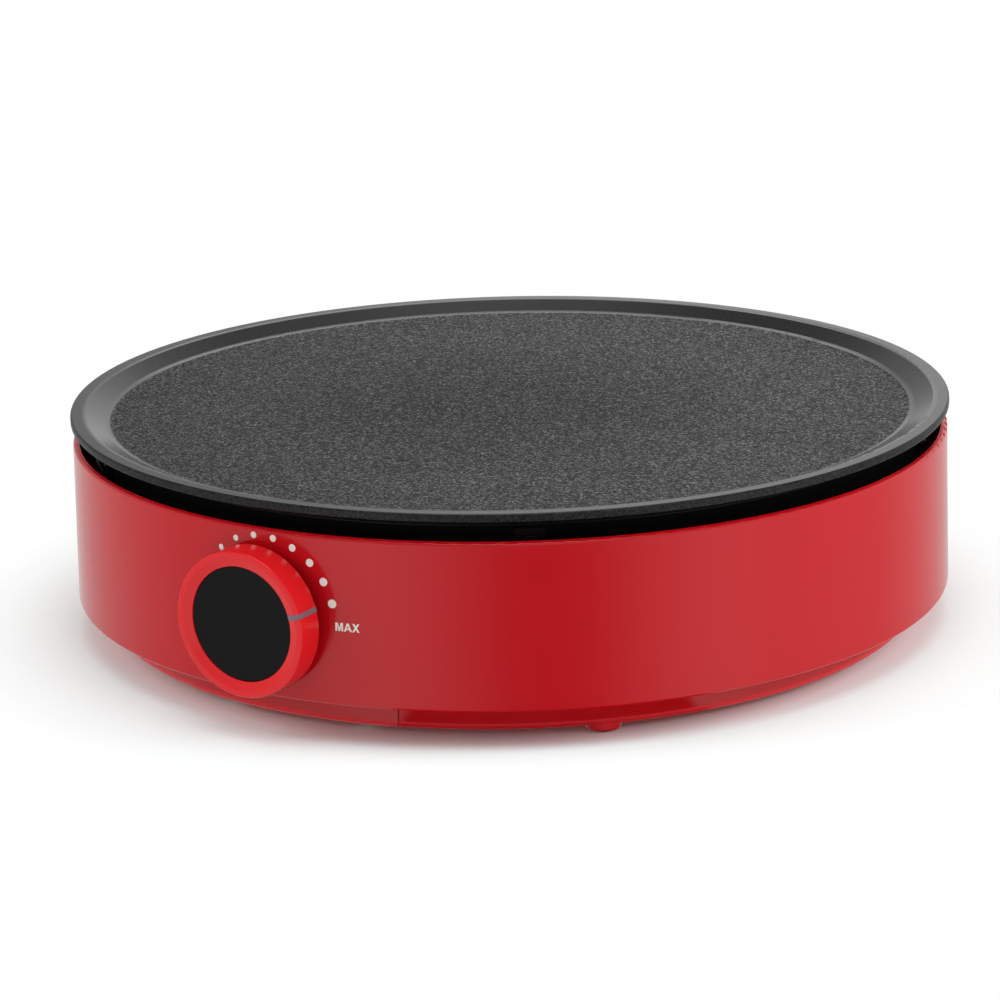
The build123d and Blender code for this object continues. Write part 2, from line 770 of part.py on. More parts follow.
def make_control_bay_cover():
    """Proud piece of the base ring under the knob, closing the control bay."""
    radius = base_radius + cover_proud
    gap_angle = degrees(asin(cover_gap / base_radius))
    half_angle = cover_half_angle - gap_angle
    inner = cover_inner_radius + cover_gap
    ring_inner = base_radius - base_ring_width
    body = turned(
        (inner, floor_bottom, 0),
        (ring_inner, floor_bottom, 0),
        (ring_inner, ring_bottom, cover_edge_round),
        (radius, ring_bottom, cover_edge_round),
        (radius, flange_bottom - cover_gap, 0),
        (radius - base_wall - cover_proud, flange_bottom - cover_gap, 0),
        (radius - base_wall - cover_proud, floor_top, cover_inner_round),
        (inner, floor_top, 0),
    )
    cover = body & sector(half_angle, inner, radius + cut_over, ring_bottom, flange_bottom)
    tongue_tip = cover_inner_radius - cover_tongue
    tongue_root = inner + cover_tongue_root
    tongue_top = floor_top + cover_tongue_sheet
    cover += sector(half_angle / 2, tongue_tip, tongue_root, floor_top, tongue_top)
    for azimuth in cover_screw_azimuths:
        place = around(azimuth, cover_screw_from_axis)
        recess = rod(base_screw_head[0] + screw_clearance, ring_bottom - cut_over, floor_bottom)
        hole = rod(base_screw_radius + screw_clearance, ring_bottom, floor_top + cover_gap)
        cover -= place * recess
        cover -= place * hole
    return cover


def make_cover_screws():
    """Two screws from below into the pan's cover bosses."""
    screw = pan_screw(base_screw_radius, cover_screw_length, base_screw_head)
    places = [around(azimuth, cover_screw_from_axis) for azimuth in cover_screw_azimuths]
    return [place * Pos(0, 0, floor_bottom) * screw for place in places]


def make_base_screws():
    """Screws from below through the pan's flange into the shell's bosses."""
    screw = pan_screw(base_screw_radius, base_screw_length, base_screw_head)
    places = [around(azimuth, base_screw_from_axis) for azimuth in base_screw_azimuths]
    return [place * Pos(0, 0, flange_bottom) * screw for place in places]


# ---------------------------------------------------------------- knob


def knob_corners(grow=0.0):
    """Outer face of the knob from the disc's recess to the back edge, as corners."""
    lip = knob_face_radius - ring_flat_width
    return (
        (recess_radius, knob_face - ring_dish + grow, 0),
        (lip, knob_face + grow, 0),
        (knob_face_radius + grow, knob_face + grow, knob_face_round),
        (knob_back_radius + grow, knob_back, 0),
    )


def make_knob_pointer():
    """Pale inlay let into the ring's face and side at the pointer's angle."""
    skin = turned(
        *knob_corners(pointer_proud),
        (knob_back_radius - pointer_depth, knob_back, 0),
        (knob_face_radius - pointer_depth, knob_face - pointer_depth, 0),
        (recess_radius, knob_face - ring_dish - pointer_depth, 0),
    )
    reach = knob_back_radius + cut_over
    strip = Pos(0, reach / 2) * Rectangle(pointer_width, reach)
    slab = Pos(0, 0, knob_back) * extrude(strip, knob_protrusion + cut_over)
    return along_knob(Rot(0, 0, -pointer_angle) * (skin & slab))


def shaft_section(clearance=0.0):
    """D-shaped section of the shaft, or of its bore with a clearance."""
    radius = shaft_radius + clearance
    flat = shaft_flat + clearance
    keep = Pos(0, flat - radius) * Rectangle(2 * radius, 2 * radius)
    return Circle(radius) & keep


def make_knob_body(pointer):
    """Red moulded cup with a raised ring, ribs and a D-bored hub."""
    wall_inside = knob_back_radius - knob_wall
    web_back = disc_seat - knob_web
    cup = turned(
        (0, disc_seat, 0),
        (recess_radius, disc_seat, 0),
        *knob_corners(),
        (wall_inside, knob_back, 0),
        (wall_inside - knob_draft, web_back, knob_web_round),
        (0, web_back, 0),
    )
    cup += rod(hub_radius, knob_back, web_back)
    rib = Rectangle(2 * wall_inside, knob_rib_thickness)
    rib += Rectangle(knob_rib_thickness, 2 * wall_inside)
    cup += Pos(0, 0, web_back - knob_rib_depth) * extrude(rib, knob_rib_depth)
    bore = extrude(shaft_section(shaft_running_clearance), shaft_tip - knob_back)
    cup -= Pos(0, 0, knob_back) * bore
    return along_knob(cup) - pointer


def make_knob_disc():
    """Black disc let into the knob's face."""
    disc = turned(
        (0, disc_seat, 0),
        (disc_radius, disc_seat, 0),
        (disc_radius, disc_front, disc_round),
        (0, disc_front, 0),
    )
    return along_knob(disc)


# ---------------------------------------------------------------- thermostat


def make_thermostat_shaft():
    """Shaft with a collar behind the bushing and a flat for the knob."""
    collar_radius, collar_width = shaft_collar
    round_end = shaft_tip - shaft_flat_length
    shaft = rod(shaft_radius, shaft_tail, round_end)
    shaft += Pos(0, 0, round_end) * extrude(shaft_section(), shaft_flat_length)
    shaft += rod(collar_radius, shaft_tail, shaft_tail + collar_width)
    return along_knob(shaft)


def make_thermostat_bushing():
    """Threaded bushing that guides the shaft and carries the body on the bracket."""
    rim_radius, rim_depth = bushing_flange
    bushing = rod(bushing_radius, bushing_tail, bushing_tip)
    bushing = chamfer(bushing.edges().sort_by(Axis.Z)[-1], bushing_chamfer)
    bushing += rod(rim_radius, bracket_from_axis - rim_depth, bracket_from_axis)
    bushing -= rod(shaft_radius + shaft_running_clearance, bushing_tail, bushing_tip)
    return along_knob(bushing)


def make_thermostat_nut():
    """Hexagon nut on the bushing, against the bracket's outer face."""
    nut = extrude(RegularPolygon(nut_across_flats / 2, 6, major_radius=False), nut_thickness)
    nut -= extrude(Circle(bushing_radius + screw_slack), nut_thickness)
    return along_knob(Pos(0, 0, bracket_face) * nut)


def make_thermostat_body():
    """Moulded switch body with a pocket for the bushing and the shaft's collar."""
    width, height, depth = body_size
    body = Pos(0, 0, body_back) * extrude(Rectangle(width, height), depth)
    body = fillet(body.edges().filter_by(Axis.Z), body_corner)
    pocket_radius = max(bushing_radius, shaft_collar[0] + collar_play) + screw_slack
    body -= rod(pocket_radius, shaft_tail - collar_play, bracket_from_axis)
    rim_radius, rim_depth = bushing_flange
    seat = bracket_from_axis - rim_depth
    body -= rod(rim_radius + screw_slack, seat, bracket_from_axis)
    return along_knob(body)


def make_thermostat_cap():
    """Pressed cap over the bellows at the back of the switch body."""
    cap = turned(
        (0, body_back, 0),
        (cap_radius, body_back, 0),
        (cap_radius, body_back - cap_depth, cap_round),
        (0, body_back - cap_depth, 0),
    )
    return along_knob(cap)


def tab_place(side):
    """Root of a thermostat terminal on the back of the body."""
    return Vector(side * tab_spacing / 2, -tab_drop, body_back)


def make_thermostat_tabs():
    """Push-on terminals on the back of the switch body."""
    width, sheet, length = tab_size
    tab = block(sheet, width, -length, 0)
    return [along_knob(Pos(*tab_place(side)) * tab) for side in (1, -1)]


def make_thermostat_bracket():
    """Steel strip that carries the thermostat on the shell's two bosses."""
    width, height, sheet = bracket_size
    strip = RectangleRounded(width, height, bracket_corner)
    strip -= Circle(bushing_radius + screw_clearance)
    for side in (1, -1):
        x = side * bracket_boss_spacing / 2
        strip -= Pos(x, 0) * Circle(bracket_screw_radius + screw_clearance)
    return along_knob(Pos(0, 0, bracket_from_axis) * extrude(strip, sheet))


def make_bracket_screws():
    """Screws from inside through the bracket into the shell's bosses."""
    screw = pan_screw(bracket_screw_radius, bracket_screw_length, bracket_screw_head)
    places = [Pos(side * bracket_boss_spacing / 2, 0, bracket_from_axis) for side in (1, -1)]
    return [along_knob(place * screw) for place in places]


# ---------------------------------------------------------------- sensor


def bulb_centre():
    """Middle of the sensor bulb, which lies along X under the disc."""
    return Vector(0, -bulb_from_axis, disc_underside - screw_slack - bulb_radius)


def capillary_port():
    """Where the capillary passes the shield."""
    x = bulb_length / 2 + bulb_neck + 2 * capillary_bend + capillary_straight
    return (x, -bulb_from_axis)


def make_sensor_bulb():
    """Closed bulb with a neck at its +X end."""
    half = bulb_length / 2
    bulb = turned(
        (0, -half, 0),
        (bulb_radius, -half, bulb_round),
        (bulb_radius, half, bulb_round),
        (0, half, 0),
    )
    bulb += rod(capillary_radius + bulb_neck_wall, half - bulb_neck_lap, half + bulb_neck)
    lying = Location(tuple(bulb_centre()), (0, 90, 0))
    return lying * bulb


def make_bulb_clip():
    """Saddle that holds the bulb up against the disc, with a foot on each side."""
    inner = bulb_radius + bulb_clip_gap
    outer = inner + bulb_clip_sheet
    centre_drop = screw_slack + bulb_radius
    saddle = Circle(outer) - Circle(inner)
    saddle -= Pos(0, outer) * Rectangle(4 * outer, 2 * outer)
    for side in (1, -1):
        leg = Pos(side * (inner + bulb_clip_sheet / 2), centre_drop / 2)
        saddle += leg * Rectangle(bulb_clip_sheet, centre_drop)
        foot_x = side * (inner + bulb_clip_foot / 2)
        foot = Pos(foot_x, centre_drop - bulb_clip_sheet / 2)
        saddle += foot * Rectangle(bulb_clip_foot, bulb_clip_sheet)
    across = Plane(origin=tuple(bulb_centre()), x_dir=(0, 1, 0), z_dir=(1, 0, 0))
    clip = across.location * Pos(0, 0, -bulb_clip_width / 2) * extrude(saddle, bulb_clip_width)
    low = disc_underside - bulb_clip_sheet - cut_over
    for place in bulb_screw_places():
        clip -= place * rod(base_screw_radius + screw_clearance, low, disc_underside)
    return clip


def bulb_screw_places():
    """Screw centres of the bulb's clip, one in each foot."""
    reach = bulb_radius + bulb_clip_gap + (bulb_clip_foot + bulb_clip_sheet) / 2
    return [Pos(0, -bulb_from_axis + side * reach, 0) for side in (1, -1)]


def make_bulb_clip_screws():
    """Two short screws into blind holes in the disc."""
    screw = pan_screw(base_screw_radius, bulb_screw_length, base_screw_head)
    seat = disc_underside - bulb_clip_sheet
    return [place * Pos(0, 0, seat) * screw for place in bulb_screw_places()]


def make_capillary_tube():
    """Fine tube from the bulb, down through the shield, to the back of the switch body."""
    start = bulb_centre() + Vector(bulb_length / 2 + bulb_neck, 0, 0)
    port_x, port_y = capillary_port()
    entry_x, entry_rise = capillary_entry
    low = knob_height + entry_rise
    points = (
        start,
        Vector(port_x, port_y, start.Z),
        Vector(port_x, port_y, low),
        Vector(entry_x + capillary_run_in, 2 * capillary_run_in - body_back, low),
        Vector(entry_x, capillary_run_in - body_back, low),
        Vector(entry_x, -body_back, low),
    )
    path = FilletPolyline(*points, radius=capillary_bend)
    return swept(capillary_radius, path)


# ---------------------------------------------------------------- supply


def make_terminal_block():
    """Three-way block on the pan's two bosses."""
    width, depth, height = block_size
    base = floor_top + block_boss_height
    body = Pos(0, block_from_axis, 0) * block(width, depth, base, base + height)
    body = fillet(body.edges().filter_by(Axis.Z), block_corner)
    for number in (-1, 0, 1):
        x = number * block_pitch
        passage = Plane(
            origin=(x, block_from_axis - depth / 2, lead_level), z_dir=(0, 1, 0)
        )
        body -= passage.location * extrude(Circle(block_bore), depth)
        well_bottom = base + height - block_screw[1] - block_screw_sunk
        well = rod(block_screw[0] + screw_slack, well_bottom, base + height)
        body -= Pos(x, block_from_axis, 0) * well
    return body


def make_terminal_screws():
    """Clamping screws in the block's wells."""
    radius, height = block_screw
    top = floor_top + block_boss_height + block_size[2] - block_screw_sunk
    slot_width, slot_depth = block_screw_slot
    screw = rod(radius, top - height, top)
    screw -= block(2 * radius, slot_width, top - slot_depth, top)
    return [Pos(n * block_pitch, block_from_axis, 0) * screw for n in (-1, 0, 1)]


def block_entry(number):
    """Where a lead enters the terminal block from inside."""
    inside = block_from_axis - block_size[1] / 2 + lead_in_block
    return Vector(number * block_pitch, inside, lead_level)


def pin_tip(side):
    """Tip of an element pin's tab."""
    return element_end(side) - Vector(0, 0, pin_length + pin_tab[2])


def tab_tip(side):
    """Tip of a thermostat terminal, in the row's frame."""
    place = tab_place(side)
    return Vector(place.X, -(place.Z - tab_size[2]), knob_height + place.Y)


def fuse_end(side):
    """Middle of the fuse's rear (1) or front (-1) end."""
    fuse_x, fuse_y = fuse_place
    return Vector(fuse_x, fuse_y + side * fuse_length / 2, fuse_height)


def pin_drop():
    """Height from a lead's lowest centre line, over the base pan's floor, to a pin's tip."""
    return pin_tip(1).Z - (floor_top + lead_floor_gap + lead_radius)


def lead(start, route, end, drop=1.0):
    """Insulated wire between two terminals; the last steps' heights are times drop."""
    from_start, between, from_end = route
    points = [start]
    points += [start + Vector(*step) for step in from_start]
    points += [Vector(*point) for point in between]
    points += [end + Vector(x, y, share * drop) for x, y, share in from_end]
    points.append(end)
    return swept(lead_radius, bent_path(points))


def make_live_lead():
    """Terminal block to the thermostat's right terminal."""
    return lead(block_entry(1), live_route, tab_tip(1))


def make_neutral_lead():
    """Terminal block to the thermal fuse."""
    return lead(block_entry(-1), neutral_route, fuse_end(1))


def make_fuse_lead():
    """Thermal fuse to the element's left pin."""
    return lead(fuse_end(-1), fuse_route, pin_tip(-1), pin_drop())


def make_switched_lead():
    """Thermostat's left terminal, between the element's pins, to the right one."""
    return lead(tab_tip(-1), switched_route, pin_tip(1), pin_drop())


def make_earth_lead():
    """Terminal block to the earth tab under the shield."""
    tab_x, tab_y = earth_tab_place
    crimp_y = tab_y + earth_tab_size[1] / 2 - earth_crimp
    under_tab = shield_floor_bottom - earth_tab_size[2] - lead_radius
    return lead(block_entry(0), earth_route, Vector(tab_x, crimp_y, under_tab))


def make_earth_tab():
    """Brass tab screwed under the shield's floor."""
    width, length, sheet = earth_tab_size
    tab_x, tab_y = earth_tab_place
    tab = block(width, length, shield_floor_bottom - sheet, shield_floor_bottom)
    tab = fillet(tab.edges().filter_by(Axis.Z), earth_tab_corner)
    place = Pos(tab_x, tab_y, 0)
    low = shield_floor_bottom - sheet - cut_over
    tab -= rod(base_screw_radius + screw_clearance, low, shield_floor_bottom)
    return place * tab


def make_shield_screws():
    """Short screws for the earth tab and the fuse clip, up through the shield's floor."""
    screw = pan_screw(base_screw_radius, shield_screw_length, base_screw_head)
    at_tab = Pos(*earth_tab_place, shield_floor_bottom - earth_tab_size[2]) * screw
    at_clip = Pos(*fuse_screw_place, shield_floor_bottom - fuse_clip_sheet) * screw
    return [at_tab, at_clip]


def make_thermal_fuse():
    """Fuse in its glass-fibre sleeve, lying along Y under the shield."""
    fuse_x, fuse_y = fuse_place
    half = fuse_length / 2
    sleeve = turned(
        (0, -half, 0),
        (fuse_radius, -half, fuse_round),
        (fuse_radius, half, fuse_round),
        (0, half, 0),
    )
    return Location((fuse_x, fuse_y, fuse_height), (90, 0, 0)) * sleeve


def make_fuse_clip():
    """Band round the fuse with a foot screwed to the shield."""
    fuse_x, fuse_y = fuse_place
    inner = fuse_radius + fuse_slack
    band = Circle(inner + fuse_clip_sheet) - Circle(inner)
    foot_length = inner + fuse_clip_foot
    foot = Pos(foot_length / 2, inner + fuse_clip_sheet / 2)
    band += foot * Rectangle(foot_length, fuse_clip_sheet)
    band -= Circle(inner)
    clip = Pos(0, 0, -fuse_clip_width / 2) * extrude(band, fuse_clip_width)
    across = Plane(origin=(fuse_x, fuse_y, fuse_height), x_dir=(1, 0, 0), z_dir=(0, -1, 0))
    low = shield_floor_bottom - fuse_clip_sheet - cut_over
    hole = rod(base_screw_radius + screw_clearance, low, shield_floor_bottom)
    return across.location * clip - Pos(*fuse_screw_place) * hole


# ---------------------------------------------------------------- assembly

knob_pointer = make_knob_pointer()

pieces = {
    "griddle_plate": make_griddle_plate(),
    "heating_element": make_heating_element(),
    "element_beads": make_element_beads(),
    "element_pins": make_element_pins(),
    "element_clamps": make_element_clamps(),
    "clamp_screws": make_clamp_screws(),
    "heat_shield": make_heat_shield(),
    "shield_rivets": make_shield_rivets(),
    "plate_posts": make_plate_posts(),
    "post_screws": make_post_screws(),
    "housing_shell": make_housing_shell(),
    "cord_gland": make_cord_gland(),
    "base_pan": make_base_pan(),
    "foot_pads": make_foot_pads(),
    "control_bay_cover": make_control_bay_cover(),
    "cover_screws": make_cover_screws(),
    "base_screws": make_base_screws(),
    "knob_body": make_knob_body(knob_pointer),
    "knob_disc": make_knob_disc(),
    "knob_pointer": knob_pointer,
    "thermostat_shaft": make_thermostat_shaft(),
    "thermostat_bushing": make_thermostat_bushing(),
    "thermostat_nut": make_thermostat_nut(),
    "thermostat_body": make_thermostat_body(),
    "thermostat_cap": make_thermostat_cap(),
    "thermostat_tabs": make_thermostat_tabs(),
    "thermostat_bracket": make_thermostat_bracket(),
    "bracket_screws": make_bracket_screws(),
    "sensor_bulb": make_sensor_bulb(),
    "bulb_clip": make_bulb_clip(),
    "bulb_clip_screws": make_bulb_clip_screws(),
    "capillary_tube": make_capillary_tube(),
    "terminal_block": make_terminal_block(),
    "terminal_screws": make_terminal_screws(),
    "thermal_fuse": make_thermal_fuse(),
    "fuse_clip": make_fuse_clip(),
    "earth_tab": make_earth_tab(),
    "shield_screws": make_shield_screws(),
    "live_lead": make_live_lead(),
    "neutral_lead": make_neutral_lead(),
    "fuse_lead": make_fuse_lead(),
    "switched_lead": make_switched_lead(),
    "earth_lead": make_earth_lead(),
}

for node, shape in pieces.items():
    solids = shape if isinstance(shape, list) else [shape]
    bodies = [solid for item in solids for solid in item.solids()]
    export_step(Compound(children=bodies), f"parts/{node}.step")
    print(node, len(bodies), "solids", round(sum(body.volume for body in bodies)), "mm3")
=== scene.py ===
"""Finishes, dial printing, light and camera for the electric crepe maker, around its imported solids."""
import json
import math

import bmesh
import bpy
from mathutils import Matrix, Vector


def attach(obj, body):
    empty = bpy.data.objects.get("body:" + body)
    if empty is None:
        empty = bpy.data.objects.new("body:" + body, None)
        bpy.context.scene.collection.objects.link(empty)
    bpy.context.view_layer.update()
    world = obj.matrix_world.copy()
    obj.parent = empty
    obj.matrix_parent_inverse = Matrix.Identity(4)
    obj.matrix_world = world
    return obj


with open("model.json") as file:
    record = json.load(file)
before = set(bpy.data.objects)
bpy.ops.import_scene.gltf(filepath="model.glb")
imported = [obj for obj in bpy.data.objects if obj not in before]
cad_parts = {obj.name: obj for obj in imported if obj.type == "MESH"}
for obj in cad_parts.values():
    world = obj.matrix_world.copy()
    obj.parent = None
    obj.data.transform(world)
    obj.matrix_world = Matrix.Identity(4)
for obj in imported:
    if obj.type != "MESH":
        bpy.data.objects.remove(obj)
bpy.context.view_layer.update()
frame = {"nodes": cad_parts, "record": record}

MM = 0.001
UP = Vector((0, 0, 1))

# The camera: it stands to the right of the knob and looks a little down.
CAMERA_AZIMUTH = math.radians(31.893)
CAMERA_ELEVATION = math.radians(15.997)
CAMERA_DISTANCE = 1.30207
CAMERA_ROLL = math.radians(-1.41)
CAMERA_LENS = 126.82
CAMERA_SENSOR = 36.0
AIM_SIDE = -0.00433
AIM_HEIGHT = 0.0401

# The shell's outside, which carries the dial's printing, and the round at the top of its wall.
SHELL_BOTTOM = 13.5 * MM
WALL_START = 14.3 * MM
SHELL_RADIUS = 160.4 * MM
SHELL_LEAN = 1.0 / 57.7
TOP_ROUND = 1.2 * MM
TOP_ROUND_RADIUS = 158.2 * MM
TOP_ROUND_HEIGHT = 70.0 * MM
KNOB_HEIGHT = 41.1 * MM

# The plate: the heights and radii at which one of its surfaces gives way to the next.
PLATE_UPPER = 74.5 * MM
RIM_HEIGHT = 77.0 * MM
LEDGE_EDGE = 159.2 * MM
DISC_EDGE = 145.4 * MM
# Between these two radii the disc's coating goes from darker in its middle to lighter outside.
DISC_MIDDLE = 30 * MM
DISC_OUTER = 105 * MM
CASTING_TOP = 72.9 * MM
CASTING_EDGE = 149.0 * MM
EDGE_BLEND = 0.6 * MM

# The dial: dots on a circle round the knob, counted back from the last one before the word.
DIAL_RADIUS = 26.9 * MM
DIAL_ACROSS = 1.63 * MM
DIAL_ABOVE = 0.86 * MM
DIAL_LAST = math.radians(76.1)
DIAL_STEP = math.radians(16.63)
DIAL_DOTS = 11
DOT_LARGEST = 3.0 * MM
DOT_SHRINK = 0.15 * MM
PRINT_PROUD = 0.06 * MM
PRINT_ROOT = 0.12 * MM
PRINT_EDGE = 0.05 * MM
PRINT_SIDE = 0.6  # share of the print's height at which its soft edge starts

# The dial's word. The letters are drawn in cap heights, and each entry says where its letter starts.
WORD_ACROSS = 33.0 * MM
WORD_ABOVE = -0.35 * MM
WORD_HEIGHT = 2.85 * MM
WORD_LENGTH = 3.02
LETTER_M = ((0, 0), (0.21, 0), (0.21, 0.72), (0.39, 0), (0.57, 0), (0.75, 0.72), (0.75, 0),
            (0.96, 0), (0.96, 1), (0.66, 1), (0.48, 0.30), (0.30, 1), (0, 1))
LETTER_A = ((0, 0), (0.22, 0), (0.30, 0.22), (0.70, 0.22), (0.78, 0), (1, 0), (0.61, 1), (0.39, 1))
HOLE_IN_A = ((0.36, 0.39), (0.64, 0.39), (0.50, 0.77))
LETTER_X = ((0, 0), (0.25, 0), (0.465, 0.345), (0.68, 0), (0.93, 0), (0.595, 0.52),
            (0.90, 1), (0.65, 1), (0.465, 0.70), (0.28, 1), (0.03, 1), (0.335, 0.52))
WORD_OUTLINES = ((0.0, LETTER_M), (1.06, LETTER_A), (1.06, HOLE_IN_A), (2.09, LETTER_X))

# Light: an even sky, three lamps and, for gloss alone, a studio.
AMBIENT = 0.58
# Each lamp: its name, azimuth and elevation in degrees, distance, size and power.
LAMPS = (("lamp_right", 112, 30, 2.0, 1.2, 22),
         ("lamp_left", -55, 30, 2.0, 1.2, 13.5),
         ("lamp_top", 40, 78, 2.0, 1.4, 8))

# The studio's walls, as (place, level): place goes from the dark azimuth, 0, to straight behind it, 1.
DARK_AHEAD = math.radians(40)
WALLS = ((0.0, 0.08), (0.06, 0.16), (0.17, 0.63), (0.23, 0.82), (0.29, 0.82), (0.35, 0.68), (0.46, 0.60),
         (0.55, 0.49), (0.72, 0.60), (1.0, 0.72))
HORIZON = 0.01
UNDERNEATH = 0.6
UNDERNEATH_SEEN = (-0.45, -0.65)

# The studio's sky, as (place, level): place goes from level, 0, to overhead, 1. It is dimmer on the camera's
# left, and a window stands in it on the far side of the object.
SKY_TOP = 3.0
SKY = ((0.0, 0.257), (0.2, 0.257), (0.33, 0.147), (0.5, 0.08), (0.64, 0.115), (0.74, 0.2), (0.81, 1.0),
       (1.0, 1.0))
SKY_DIM = 0.55
DIM_ASIDE = (0.01, -0.08)
DIM_HEAD = (0.75, 0.6)
WINDOW_LEVEL = 1.6
WINDOW_HALF = math.radians(10)
WINDOW_EDGE = 0.3
WINDOW_FOOT = (0.26, 0.33)
WINDOW_HEAD = (0.66, 0.58)

# The floor fades into the white round it, and a dark strip on it that only gloss sees is a painted reflection
# of shade in the front of the base.
FLOOR_HALF = 4.0
FLOOR_SHADE = 0.88
FLOOR_SEEN = (0.92, 1.03, 1.02)
FLOOR_NEAR = 160 * MM
FLOOR_FAR = 210 * MM
STRIP_AZIMUTH = math.radians(37)
STRIP_HALF = math.radians(21.5)
STRIP_START = 144 * MM
STRIP_REACH = 186 * MM
STRIP_EDGE = 0.03
STRIP_FADE = 1.02

TINY = 1e-6  # keeps a division off zero


class Wire:
    """One output of a node. Sums written with it become Math nodes."""

    def __init__(self, nodes, socket):
        self.nodes = nodes
        self.socket = socket

    def other(self, output):
        """Another output of the same node."""
        return Wire(self.nodes, self.socket.node.outputs[output])

    def maths(self, operation, first, second=0.0):
        return self.nodes.add("Math", {"operation": operation}, {0: first, 1: second})

    def __add__(self, other):
        return self.maths("ADD", self, other)

    def __radd__(self, other):
        return self.maths("ADD", other, self)

    def __sub__(self, other):
        return self.maths("SUBTRACT", self, other)

    def __rsub__(self, other):
        return self.maths("SUBTRACT", other, self)

    def __mul__(self, other):
        return self.maths("MULTIPLY", self, other)

    def __rmul__(self, other):
        return self.maths("MULTIPLY", other, self)

    def __truediv__(self, other):
        return self.maths("DIVIDE", self, other)

    def __rtruediv__(self, other):
        return self.maths("DIVIDE", other, self)

    def __pow__(self, other):
        return self.maths("POWER", self, other)

    def sine(self):
        return self.maths("SINE", self)


class Nodes:
    """A tree of shader nodes and the one method that adds to it."""

    def __init__(self, tree):
        self.tree = tree

    def feed(self, socket, value):
        """Sets a socket, or links it where the value is a wire."""
        if isinstance(value, Wire):
            self.tree.links.new(value.socket, socket)
        elif socket.type == "RGBA":
            socket.default_value = (*value, 1.0)
        else:
            socket.default_value = value

    def add(self, kind, settings, inputs, output=0):
        """Adds a node of that kind, with its settings first and then its sockets, and gives one output."""
        node = self.tree.nodes.new("ShaderNode" + kind)
        for name, value in settings.items():
            if name == "stops":
                lay_stops(node.color_ramp, value)
            else:
                setattr(node, name, value)
        for key, value in inputs.items():
            self.feed(node.inputs[key], value)
        return Wire(self, node.outputs[output])

    def between(self, value, low, high, first=0.0, last=1.0):
        """Goes from first to last while value goes from low to high, and stays there outside them."""
        return self.add("MapRange", {"clamp": True}, {0: value, 1: low, 2: high, 3: first, 4: last})

    def rise(self, value, edge, over):
        """0 up to the edge and 1 past it, with the change spread over a short way past it."""
        return self.between(value, edge, edge + over)

    def fall(self, value, edge, over):
        """1 up to the edge and 0 past it, with the change spread over a short way past it."""
        return self.between(value, edge + over, edge)

    def split(self, vector):
        """The three numbers of a vector."""
        first = self.add("SeparateXYZ", {}, {0: vector})
        return first, first.other(1), first.other(2)

    def turn_from(self, azimuth, x, y):
        """How far a level direction of length 1 is turned from an azimuth, either way, in radians."""
        along = x * math.sin(azimuth) - y * math.cos(azimuth)
        return along.maths("ARCCOSINE", self.between(along, -1.0, 1.0, -1.0, 1.0))

    def levels(self, value, stops):
        """A grey level read from stops of (place, level)."""
        greys = [(place, grey(level)) for place, level in stops]
        return self.add("ValToRGB", {"stops": greys}, {0: value})


def lay_stops(ramp, stops):
    """Gives a colour ramp these stops and no others."""
    while len(ramp.elements) > 1:
        ramp.elements.remove(ramp.elements[-1])
    for count, (place, colour) in enumerate(stops):
        if count:
            stop = ramp.elements.new(place)
        else:
            stop = ramp.elements[0]
            stop.position = place
        stop.color = (*colour, 1.0)


class Finish(Nodes):
    """A material with one shader, and the patterns that the finishes share."""

    def __init__(self, name, **sockets):
        self.material = bpy.data.materials.new(name)
        self.material.use_nodes = True
        super().__init__(self.material.node_tree)
        self.shader = self.tree.nodes["Principled BSDF"]
        self.place = self.add("TexCoord", {}, {}, "Object")
        for socket, value in sockets.items():
            self.give(socket.replace("_", " "), value)

    def give(self, socket, value):
        """Feeds a socket of the shader."""
        self.feed(self.shader.inputs[socket], value)

    def noise(self, size, detail=2.0, rough=0.5, stretch=None):
        """Soft lumps about size metres across, from 0 to 1."""
        place = self.place
        if stretch:
            place = self.add("VectorMath", {"operation": "MULTIPLY"}, {0: place, 1: stretch})
        inputs = {"Vector": place, "Scale": 1 / size, "Detail": detail, "Roughness": rough}
        return self.add("TexNoise", {}, inputs)

    def grains(self, size):
        """One random number, from 0 to 1, for each grain about size metres across."""
        colour = self.add("TexVoronoi", {}, {"Vector": self.place, "Scale": 1 / size}, "Color")
        return self.add("SeparateColor", {}, {0: colour})

    def mix(self, mask, first, second):
        """The colour first where the mask is 0, and second where it is 1."""
        return self.add("Mix", {"data_type": "RGBA"}, {0: mask, 6: first, 7: second}, 2)

    def radius(self):
        """The distance from the body's axis."""
        x, y = self.split(self.place)[:2]
        return level_length(x, y)

    def above_table(self):
        """The height above the table."""
        return self.split(self.place)[2]

    def relief(self, height, depth, curve=None):
        """Raises the surface by depth metres where the height is 1, over its own curve or another."""
        inputs = {"Strength": 1.0, "Distance": depth, "Height": height}
        if curve:
            inputs["Normal"] = curve
        self.give("Normal", self.add("Bump", {}, inputs))


def grey(level):
    return (level, level, level)


def level_length(x, y):
    """The length of the level part of a vector."""
    return (x * x + y * y) ** 0.5


